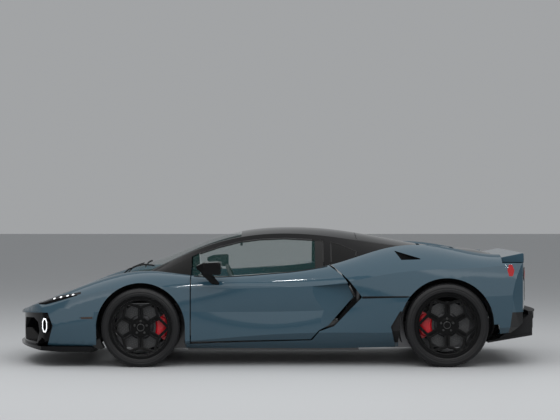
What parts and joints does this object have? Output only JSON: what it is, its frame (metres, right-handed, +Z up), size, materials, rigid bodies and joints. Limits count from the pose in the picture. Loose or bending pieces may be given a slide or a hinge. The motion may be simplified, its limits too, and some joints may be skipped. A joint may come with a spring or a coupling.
{
  "type": "mid-engined supercar",
  "caption": "Low two-seat mid-engined sports car with opening doors, front lid and engine cover, steered front wheels and rolling road wheels.",
  "frame": {"origin": "on the ground, in the middle of the car's length and width", "axes": "+X forward, +Y to the car's left, +Z up"},
  "size_m": [4.7058, 2.246, 1.2014],
  "materials": {
    "body_paint": "gloss blue-grey paint",
    "gloss_black": "gloss black",
    "matt_black": "satin black moulding",
    "carbon": "moulded carbon fibre",
    "clear_glass": "tinted safety glass",
    "lamp_clear": "clear lamp lens",
    "lamp_red": "red lamp lens",
    "exhaust_metal": "heat-tinted steel",
    "cast_alloy": "cast and machined alloy",
    "engine_iron": "cast",
    "wheel_black": "gloss black wheel paint",
    "tyre_rubber": "rubber",
    "disc_ceramic": "ceramic composite disc",
    "caliper_red": "gloss red enamel",
    "seat_leather": "black leather",
    "steering_leather": "black leather"
  },
  "bodies": {
    "car_body": {"arch_liners": "matt_black", "centre_console": "matt_black", "cowl_panel": "gloss_black", "dashboard": "matt_black", "diffuser": "matt_black", "engine_block": "engine_iron", "exhaust": "exhaust_metal", "front_bumper": "body_paint", "front_fenders": "body_paint", "front_splitter": "gloss_black", "headlamps": "lamp_clear", "luggage_tray": "matt_black", "quarter_glass": "clear_glass", "rear_bumper": "gloss_black", "rear_calipers": "caliper_red", "rear_quarters": "body_paint", "rear_uprights": "cast_alloy", "roof": "gloss_black", "seats": "seat_leather", "side_skirts": "body_paint", "spoiler": "body_paint", "steering_wheel": "steering_leather", "subframes": "cast_alloy", "suspension_arms": "cast_alloy", "tail_lamps": "lamp_red", "tub": "carbon", "windscreen": "clear_glass"},
    "door_left": {"door_left": "body_paint", "door_glass_left": "clear_glass", "mirror_left": "gloss_black"},
    "door_right": {"door_right": "body_paint", "door_glass_right": "clear_glass", "mirror_right": "gloss_black"},
    "bonnet": {"bonnet": "body_paint"},
    "engine_cover": {"engine_cover": "gloss_black"},
    "knuckle_left": {"knuckle_left": "cast_alloy", "caliper_front_left": "caliper_red"},
    "knuckle_right": {"knuckle_right": "cast_alloy", "caliper_front_right": "caliper_red"},
    "wheel_front_left": {"rim_front_left": "wheel_black", "tyre_front_left": "tyre_rubber", "brake_disc_front_left": "disc_ceramic"},
    "wheel_front_right": {"rim_front_right": "wheel_black", "tyre_front_right": "tyre_rubber", "brake_disc_front_right": "disc_ceramic"},
    "wheel_rear_left": {"rim_rear_left": "wheel_black", "tyre_rear_left": "tyre_rubber", "brake_disc_rear_left": "disc_ceramic"},
    "wheel_rear_right": {"rim_rear_right": "wheel_black", "tyre_rear_right": "tyre_rubber", "brake_disc_rear_right": "disc_ceramic"}
  },
  "joints": [
    {"name": "door_left_hinge", "type": "hinge", "parent": "car_body", "child": "door_left", "pos_m": [0.764, 0.9515, 0.5], "axis": [0, 0, -1], "range_deg": [0, 60]},
    {"name": "door_right_hinge", "type": "hinge", "parent": "car_body", "child": "door_right", "pos_m": [0.764, -0.9515, 0.5], "axis": [0, 0, 1], "range_deg": [0, 60]},
    {"name": "bonnet_hinge", "type": "hinge", "parent": "car_body", "child": "bonnet", "pos_m": [1.447, 0, 0.752], "axis": [0, -1, 0], "range_deg": [0, 55]},
    {"name": "engine_cover_hinge", "type": "hinge", "parent": "car_body", "child": "engine_cover", "pos_m": [-0.6985, 0, 1.16], "axis": [0, 1, 0], "range_deg": [0, 50]},
    {"name": "steer_left", "type": "hinge", "parent": "car_body", "child": "knuckle_left", "pos_m": [1.193, 0.8, 0.3433], "axis": [0, 0, 1], "range_deg": [-30, 30]},
    {"name": "steer_right", "type": "hinge", "parent": "car_body", "child": "knuckle_right", "pos_m": [1.193, -0.8, 0.3433], "axis": [0, 0, 1], "range_deg": [-30, 30]},
    {"name": "wheel_front_left_spin", "type": "hinge", "parent": "knuckle_left", "child": "wheel_front_left", "pos_m": [1.193, 0.8605, 0.3433], "axis": [0, 1, 0], "continuous": true},
    {"name": "wheel_front_right_spin", "type": "hinge", "parent": "knuckle_right", "child": "wheel_front_right", "pos_m": [1.193, -0.8605, 0.3433], "axis": [0, 1, 0], "continuous": true},
    {"name": "wheel_rear_left_spin", "type": "hinge", "parent": "car_body", "child": "wheel_rear_left", "pos_m": [-1.465, 0.8345, 0.3642], "axis": [0, 1, 0], "continuous": true},
    {"name": "wheel_rear_right_spin", "type": "hinge", "parent": "car_body", "child": "wheel_rear_right", "pos_m": [-1.465, -0.8345, 0.3642], "axis": [0, 1, 0], "continuous": true}
  ],
  "couplings": [
    {"joint": "steer_right", "follows": "steer_left", "ratio": 1}
  ]
}
